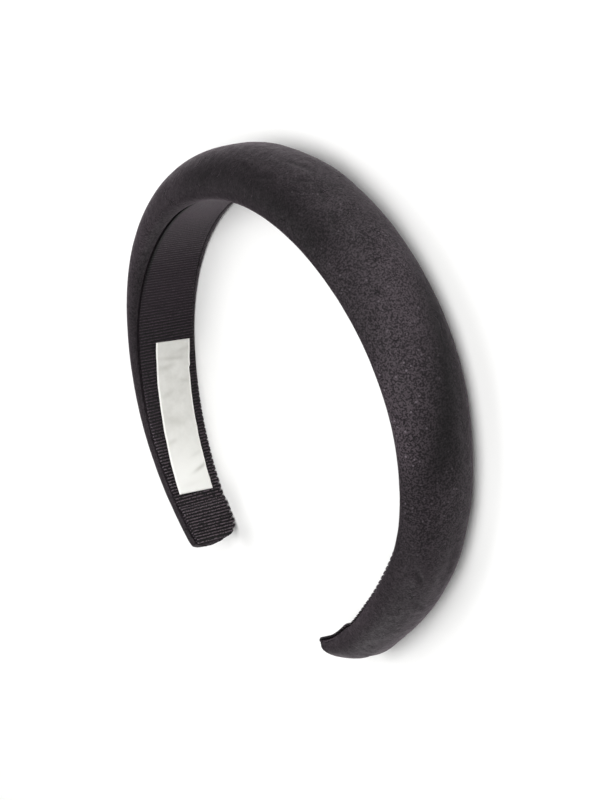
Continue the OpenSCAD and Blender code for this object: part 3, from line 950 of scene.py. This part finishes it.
def make_satin():
    """Off-white polyester satin: a fine smooth weave with a soft gloss, and denser woven edges. Its colour
    has painted shade towards its upper end and in the creases beside its puckers, and a painted highlight
    along its woven edges.
    """
    colours = bpy.context.scene.headband_colours
    label = bpy.context.scene.headband_label
    satin, add = new_material("woven_satin")
    cloth = add("UVMap", uv_map="cloth")
    parts = add("SeparateXYZ", {"Vector": cloth})
    across = add("Math", {0: parts.outputs["X"]}, operation="ABSOLUTE")
    # The woven edges along both long sides, with their painted highlight
    edge = add("MapRange", {
        "Value": across, "From Min": label.width / 2 - 0.7 * MM, "From Max": label.width / 2 - 0.4 * MM})
    up = add("MapRange", {
        "Value": parts.outputs["Y"], "From Min": 0.15 * label.length, "From Max": 0.5 * label.length})
    mottle = add("TexNoise", {"Vector": cloth, "Scale": 1 / (5 * MM), "Detail": 8.0, "Roughness": 0.7})
    mottle = add("MapRange", {
        "Value": mottle, "From Min": 0.3, "From Max": 0.7, "To Min": 0.4, "To Max": 1})
    # Painted shade towards the upper end, broken by a mottle
    wear_and_shade = add("Math", {0: up, 1: mottle}, operation="MULTIPLY")
    # Painted shade in the creases beside the puckers
    painted_crease_shade = add("Attribute", attribute_name="painted_crease_shade").outputs["Fac"]
    colour = colours.label_face
    layers = (wear_and_shade, colours.label_upper_shade), (painted_crease_shade, colours.label_crease_shade), (edge, colours.label_woven_edge_highlight)
    for share, over in layers:
        colour = add("Mix", {"Factor": share, "A": colour, "B": over}, data_type="RGBA")
    # The weave is drawn coarser than life, at 0.3 mm
    picks = add("Math", {0: parts.outputs["Y"], 1: 2 * math.pi / (0.3 * MM)}, operation="MULTIPLY")
    weave = add("Math", {0: picks}, operation="SINE")
    normal = add("Bump", {"Height": weave, "Strength": 0.2, "Distance": 0.03 * MM})
    shader = add("BsdfPrincipled", {
        "Base Color": colour, "Normal": normal, "Roughness": 0.42, "Sheen Weight": 0.1})
    add("OutputMaterial", {"Surface": shader})
    return satin


def make_floor():
    """A pale painted board: matt, with a very slight unevenness."""
    pale = bpy.context.scene.headband_colours.floor
    board, add = new_material("pale_board")
    places = add("TexCoord").outputs["Object"]
    uneven = add("TexNoise", {"Vector": places, "Scale": 1 / FLOOR_SWELLS})
    tone = add("MapRange", {"Value": uneven, "From Min": 0.3, "From Max": 0.7, "To Min": 0, "To Max": 0.02})
    colour = add("Mix", {"Factor": tone, "A": pale, "B": (0.5, 0.5, 0.5, 1)}, data_type="RGBA")
    shader = add("BsdfPrincipled", {"Base Color": colour, "Roughness": 0.9, "Specular IOR Level": 0.2})
    add("OutputMaterial", {"Surface": shader})
    return board


class HEADBAND_OT_velvet(bpy.types.Operator):
    """Makes the velvet cover over its padding"""
    bl_idname = "headband.velvet"
    bl_label = "Velvet"

    def execute(self, context):
        shape = context.scene.headband_shape
        band = Band(shape)
        s, w, h, from_front, from_rear = pad_rings(band)
        points = band.place(s, w, h)
        lengths = round_lengths(points)
        along = np.concatenate([s, s[:, :1]], 1)
        # The pile attribute carries painted light and shade, and the glint share sets how strong the painted
        # glints are
        marks = (
            ("along", s), ("across", w), ("from_front", from_front), ("from_rear", from_rear),
            ("pile", pile_light_and_shade(s, from_front)), ("glint_share", eased(s / MM, *GLINT_BY_PLACE)))
        piece = lofted("velvet_cover", points, lengths, along, marks)
        front = point_values(piece.data, "from_front")
        stuff(piece, (front <= 0) | (point_values(piece.data, "from_rear") <= 0), shape.swell)
        finer = piece.modifiers.new("finer", "SUBSURF")
        finer.levels = finer.render_levels = PAD_SUBDIVISIONS
        settle_modifiers(piece)
        crush(piece.data, band.half_length)
        dress(piece, make_velvet())
        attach(piece, BODY)
        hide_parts("velvet_pad")
        return {"FINISHED"}


class HEADBAND_OT_ribbon(bpy.types.Operator):
    """Makes the ribbed ribbon along the inner side"""
    bl_idname = "headband.ribbon"
    bl_label = "Ribbon"

    def execute(self, context):
        shape = context.scene.headband_shape
        band = Band(shape)
        rings, edges, t, ribs = ribbed(band)
        points = band.place(rings[..., 0], rings[..., 1], rings[..., 2])
        points[..., 2] = np.maximum(points[..., 2], 0)
        lengths = round_lengths(points)
        along = np.repeat(t[:, None], lengths.shape[1], 1)
        piece = lofted("ribbed_ribbon", points, lengths, along, [("edge", edges)])
        dress(piece, make_grosgrain(ribs, t[-1]))
        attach(piece, BODY)
        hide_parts("grosgrain_lining")
        return {"FINISHED"}


class HEADBAND_OT_label(bpy.types.Operator):
    """Makes the bare label on the ribbon near the left tip"""
    bl_idname = "headband.label"
    bl_label = "Label"

    def execute(self, context):
        label = context.scene.headband_label
        piece = lofted("bare_label", *label_rings(Band(context.scene.headband_shape), label))
        dress(piece, make_satin())
        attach(piece, BODY)
        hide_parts("woven_label")
        return {"FINISHED"}


# Size of the floor and of the swells in its paint, in metres
FLOOR_SIZE = 4.0
FLOOR_SWELLS = 0.3
# The camera, as it stood to the band in the photo: degrees, metres, and the lens in millimetres
CAMERA_AZIMUTH = 30.32
CAMERA_ELEVATION = 32.72
CAMERA_ROLL = -103.41
CAMERA_DISTANCE = 0.5517
CAMERA_TARGET = Vector((2.4, -3.4, 7.4)) * MM
CAMERA_LENS = 82.76
# Softboxes: name, azimuth and elevation in degrees, distance and size in metres, and watts
SOFTBOXES = (
    ("above_front", 30, 57, 1.1, 0.8, 10.5),
    ("left", 90, 12, 1.1, 0.5, 5),
    ("right", 270, 12, 1.1, 0.5, 4),
    ("near_camera", 45, 15, 1.1, 0.5, 2.5),
    ("behind", 185, 60, 1.2, 0.8, 6),
)
SKY_STRENGTH = 0.1


def towards(azimuth, elevation):
    """The direction from the band to that azimuth and elevation."""
    a, e = math.radians(azimuth), math.radians(elevation)
    return Vector((math.cos(a) * math.cos(e), math.sin(a) * math.cos(e), math.sin(e)))


class HEADBAND_OT_stage(bpy.types.Operator):
    """Makes the floor, the lights and the camera"""
    bl_idname = "headband.stage"
    bl_label = "Stage"

    def execute(self, context):
        bm = bmesh.new()
        bmesh.ops.create_grid(bm, x_segments=1, y_segments=1, size=FLOOR_SIZE / 2)
        floor = make_object(bm, "floor")
        dress(floor, make_floor())
        for name, azimuth, elevation, distance, size, watts in SOFTBOXES:
            light = bpy.data.lights.new(name, "AREA")
            light.size = size
            light.energy = watts
            lamp = bpy.data.objects.new(name, light)
            back = towards(azimuth, elevation)
            lamp.location = CAMERA_TARGET + back * distance
            lamp.rotation_euler = back.to_track_quat("Z", "Y").to_euler()
            context.scene.collection.objects.link(lamp)
        world = bpy.data.worlds.new("studio")
        world.use_nodes = True
        sky = world.node_tree.nodes["Background"]
        sky.inputs["Color"].default_value = (1, 1, 1, 1)
        sky.inputs["Strength"].default_value = SKY_STRENGTH
        context.scene.world = world
        camera = bpy.data.cameras.new("camera")
        camera.lens = CAMERA_LENS
        camera.clip_start = 0.01
        shot = bpy.data.objects.new("camera", camera)
        back = towards(CAMERA_AZIMUTH, CAMERA_ELEVATION)
        turned = back.to_track_quat("Z", "Y").to_matrix().to_4x4()
        rolled = turned @ Matrix.Rotation(math.radians(CAMERA_ROLL), 4, "Z")
        shot.matrix_world = Matrix.Translation(CAMERA_TARGET + back * CAMERA_DISTANCE) @ rolled
        context.scene.collection.objects.link(shot)
        context.scene.camera = shot
        context.scene.view_settings.view_transform = "Standard"
        return {"FINISHED"}


class HEADBAND_PT_panel(bpy.types.Panel):
    """Lists the headband's sizes, colours and steps"""
    bl_label = "Padded Headband"
    bl_idname = "HEADBAND_PT_panel"
    bl_space_type = "VIEW_3D"
    bl_region_type = "UI"
    bl_category = "Headband"

    def draw(self, context):
        scene = context.scene
        for group in (scene.headband_shape, scene.headband_label, scene.headband_colours):
            box = self.layout.box()
            for name in group.bl_rna.properties.keys():
                if name not in ("name", "rna_type"):
                    box.prop(group, name)
        for step in STEPS:
            self.layout.operator(step.bl_idname)


STEPS = (HEADBAND_OT_velvet, HEADBAND_OT_ribbon, HEADBAND_OT_label, HEADBAND_OT_stage)
GROUPS = {
    "headband_shape": HeadbandShape, "headband_label": LabelShape, "headband_colours": HeadbandColours}
CLASSES = (*GROUPS.values(), *STEPS, HEADBAND_PT_panel)


def register():
    for kind in CLASSES:
        bpy.utils.register_class(kind)
    for name, group in GROUPS.items():
        setattr(bpy.types.Scene, name, bpy.props.PointerProperty(type=group))


def unregister():
    for name in GROUPS:
        delattr(bpy.types.Scene, name)
    for kind in reversed(CLASSES):
        bpy.utils.unregister_class(kind)


def main():
    register()
    bpy.ops.headband.velvet()
    bpy.ops.headband.ribbon()
    bpy.ops.headband.label()
    bpy.ops.headband.stage()


if __name__ == "__main__":
    main()
